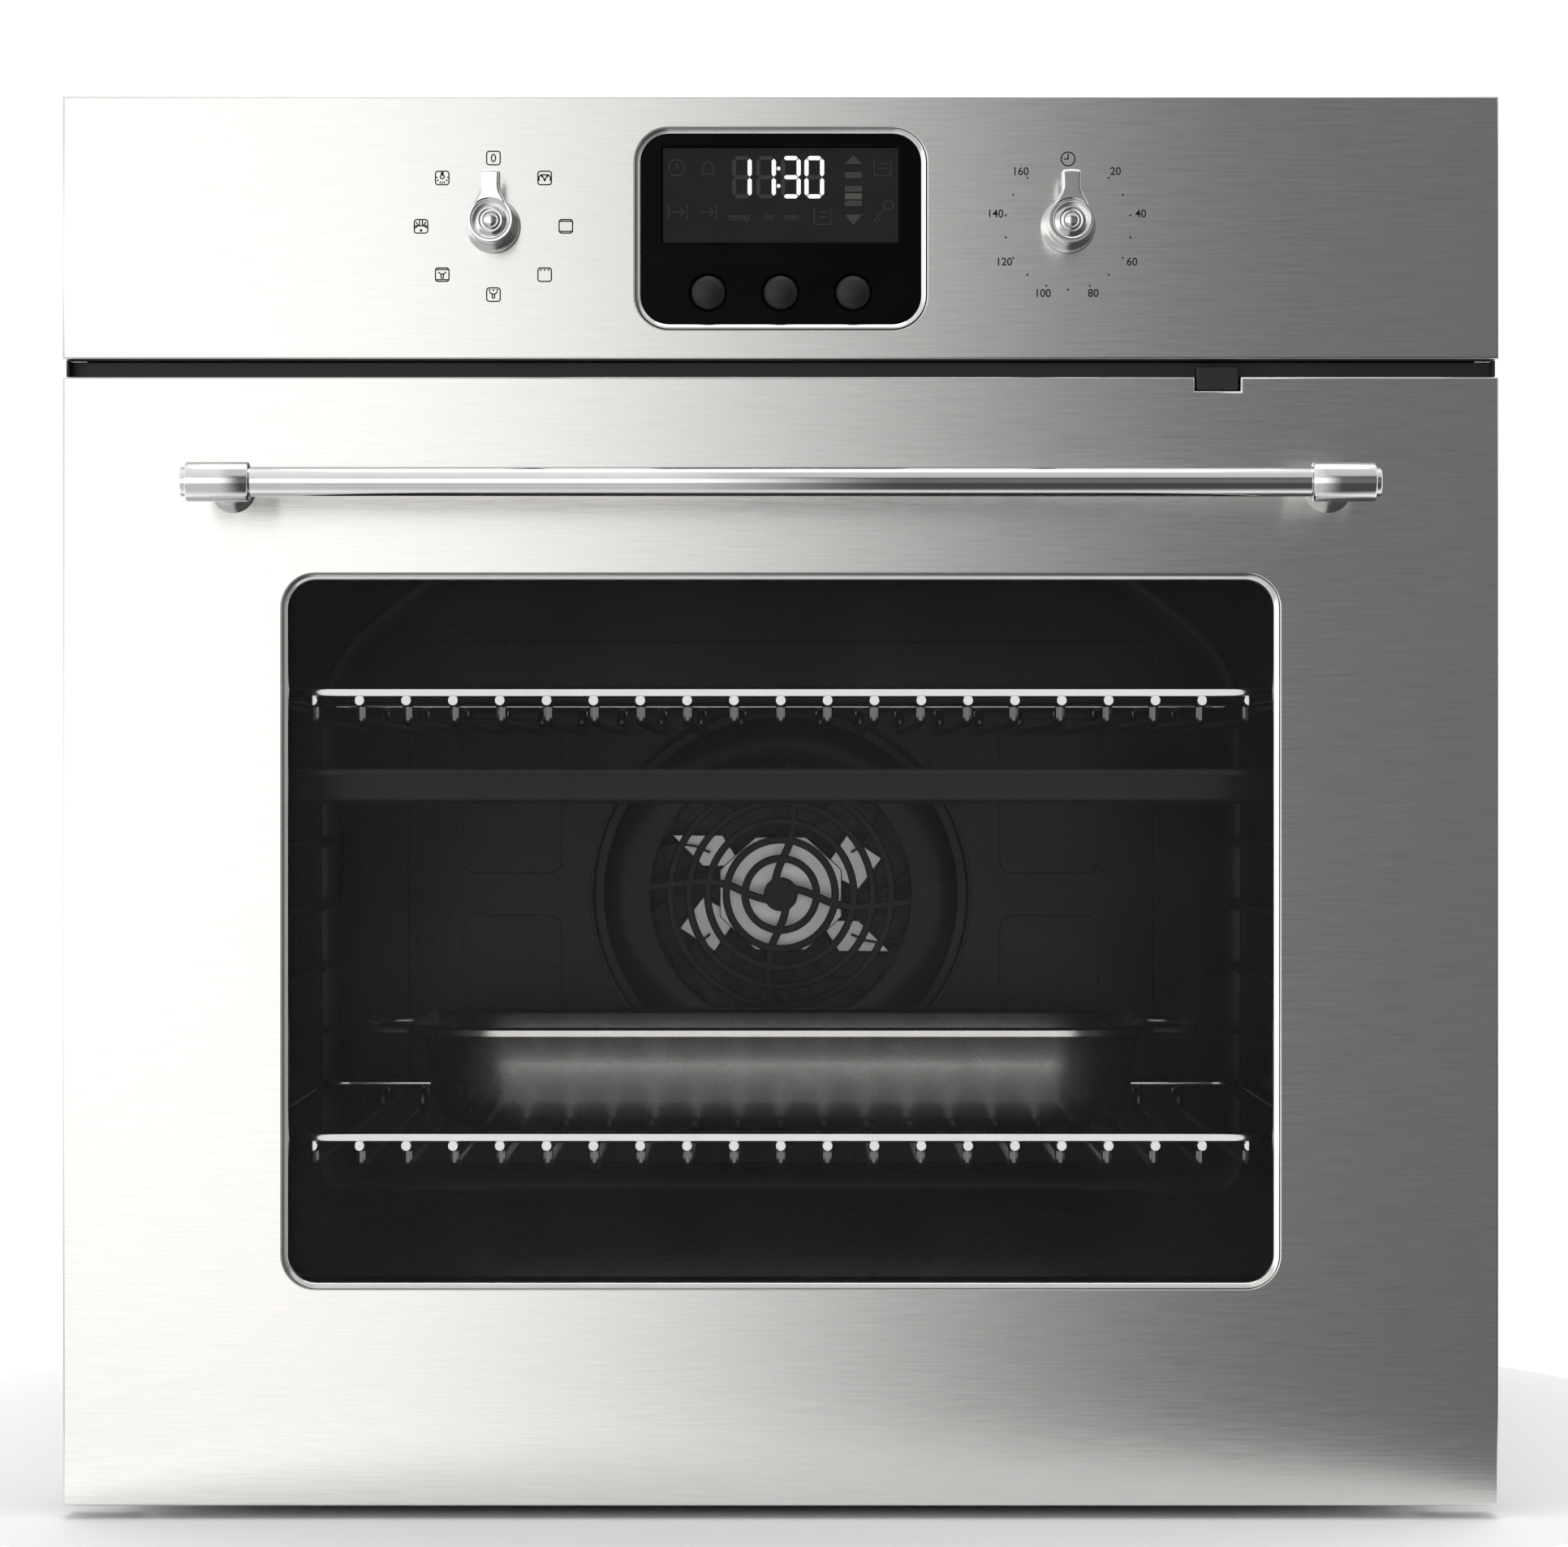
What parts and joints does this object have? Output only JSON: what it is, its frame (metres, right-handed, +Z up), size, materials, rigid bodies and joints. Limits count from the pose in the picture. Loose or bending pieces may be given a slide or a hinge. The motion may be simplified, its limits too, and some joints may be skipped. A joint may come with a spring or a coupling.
{
  "type": "wall oven",
  "caption": "Built-in electric wall oven: brushed steel front, drop-down glass door with bar handle, two dials, clock display, racks and pan inside.",
  "frame": {"origin": "middle of the oven's box, at the level of the chassis underside", "axes": "+Z up, front faces -Y, +X to the right facing the front"},
  "size_m": [0.595, 0.627, 0.589],
  "materials": {
    "brushed_steel": "brushed horizontally",
    "chrome": "polished",
    "black_enamel": "gloss enamel",
    "galvanised_steel": "galvanised, semi-matte",
    "black_plastic": "satin",
    "black_glass": "gloss",
    "tinted_glass": "clear, lightly tinted",
    "clear_glass": "clear",
    "wire_steel": "bright wire",
    "pan_steel": "satin",
    "aluminium": "bare",
    "heater_sheath": "dark oxidised",
    "seal_rubber": "woven, matte",
    "mineral_wool": "fibrous",
    "circuit_board": "satin",
    "white_ceramic": "bisque"
  },
  "bodies": {
    "chassis": {"control_panel": "brushed_steel", "cavity": "black_enamel", "fan_chamber": "black_enamel", "front_frame": "black_enamel", "fan_cover": "black_enamel", "shelf_runner_left": "black_enamel", "shelf_runner_right": "black_enamel", "housing_base": "galvanised_steel", "housing_left": "galvanised_steel", "housing_right": "galvanised_steel", "housing_back": "galvanised_steel", "housing_top": "galvanised_steel", "hinge_bracket_left": "galvanised_steel", "hinge_bracket_right": "galvanised_steel", "cooling_duct": "galvanised_steel", "cooling_fan_housing": "galvanised_steel", "cooling_fan_motor": "galvanised_steel", "fan_motor": "galvanised_steel", "vent_trim": "black_plastic", "selector_switch": "black_plastic", "timer_switch": "black_plastic", "terminal_cover": "black_plastic", "display_fascia": "black_glass", "display_screen": "black_glass", "lamp_lens": "clear_glass", "ring_heater": "heater_sheath", "grill_heater": "heater_sheath", "bottom_heater": "heater_sheath", "door_seal": "seal_rubber", "insulation_wrap": "mineral_wool", "display_board": "circuit_board", "lamp_holder": "white_ceramic", "terminal_block": "white_ceramic"},
    "door": {"door_skin": "brushed_steel", "outer_glass": "tinted_glass", "middle_glass": "tinted_glass", "inner_glass": "tinted_glass", "door_frame": "black_plastic", "door_top_vent": "black_plastic", "handle_bar": "chrome", "handle_bracket_left": "chrome", "handle_bracket_right": "chrome", "hinge_arm_left": "galvanised_steel", "hinge_arm_right": "galvanised_steel", "hinge_pin_left": "aluminium", "hinge_pin_right": "aluminium"},
    "child_lock_lever": {"child_lock": "black_plastic"},
    "selector_dial": {"selector_knob": "chrome"},
    "timer_dial": {"timer_knob": "chrome"},
    "left_button": {"button_left": "black_plastic"},
    "centre_button": {"button_centre": "black_plastic"},
    "right_button": {"button_right": "black_plastic"},
    "hot_air_fan": {"convection_fan": "aluminium"},
    "cooling_fan": {"cooling_fan_rotor": "aluminium"},
    "top_shelf": {"upper_rack": "wire_steel", "upper_rack_grid": "wire_steel"},
    "bottom_shelf": {"lower_rack": "wire_steel", "lower_rack_grid": "wire_steel"},
    "tray": {"baking_tray": "black_enamel"},
    "pan": {"roasting_pan": "pan_steel"}
  },
  "joints": [
    {"name": "door_hinge", "type": "hinge", "parent": "chassis", "child": "door", "pos_m": [0, -0.23545, 0.035], "axis": [1, 0, 0], "range_deg": [0, 90], "stiffness_Nm_per_rad": 12, "springref_deg": -11.46},
    {"name": "child_lock_lift", "type": "hinge", "parent": "chassis", "child": "child_lock_lever", "pos_m": [0.181, -0.23745, 0.4751], "axis": [-1, 0, 0], "range_deg": [0, 10], "stiffness_Nm_per_rad": 0.05, "springref_deg": -17.19},
    {"name": "selector_turn", "type": "hinge", "parent": "chassis", "child": "selector_dial", "pos_m": [-0.119, -0.25345, 0.535], "axis": [0, 1, 0], "continuous": true},
    {"name": "timer_turn", "type": "hinge", "parent": "chassis", "child": "timer_dial", "pos_m": [0.119, -0.25345, 0.535], "axis": [0, 1, 0], "range_deg": [0, 330]},
    {"name": "left_button_press", "type": "slide", "parent": "chassis", "child": "left_button", "axis": [0, 1, 0], "range_m": [0, 0.0015], "stiffness_N_per_m": 400, "springref_m": -0.0008},
    {"name": "centre_button_press", "type": "slide", "parent": "chassis", "child": "centre_button", "axis": [0, 1, 0], "range_m": [0, 0.0015], "stiffness_N_per_m": 400, "springref_m": -0.0008},
    {"name": "right_button_press", "type": "slide", "parent": "chassis", "child": "right_button", "axis": [0, 1, 0], "range_m": [0, 0.0015], "stiffness_N_per_m": 400, "springref_m": -0.0008},
    {"name": "hot_air_fan_spin", "type": "hinge", "parent": "chassis", "child": "hot_air_fan", "pos_m": [0, 0.19655, 0.248], "axis": [0, 1, 0], "continuous": true},
    {"name": "cooling_fan_spin", "type": "hinge", "parent": "chassis", "child": "cooling_fan", "pos_m": [0, 0.16345, 0.51955], "axis": [1, 0, 0], "continuous": true},
    {"name": "top_shelf_slide", "type": "slide", "parent": "chassis", "child": "top_shelf", "axis": [0, -1, 0], "range_m": [-0.014, 0.016]},
    {"name": "bottom_shelf_slide", "type": "slide", "parent": "chassis", "child": "bottom_shelf", "axis": [0, -1, 0], "range_m": [-0.014, 0.016]},
    {"name": "tray_slide", "type": "slide", "parent": "chassis", "child": "tray", "axis": [0, -1, 0], "range_m": [-0.014, 0.014]},
    {"name": "pan_lift", "type": "slide", "parent": "bottom_shelf", "child": "pan", "axis": [0, 0, 1], "range_m": [0, 0.08]}
  ]
}
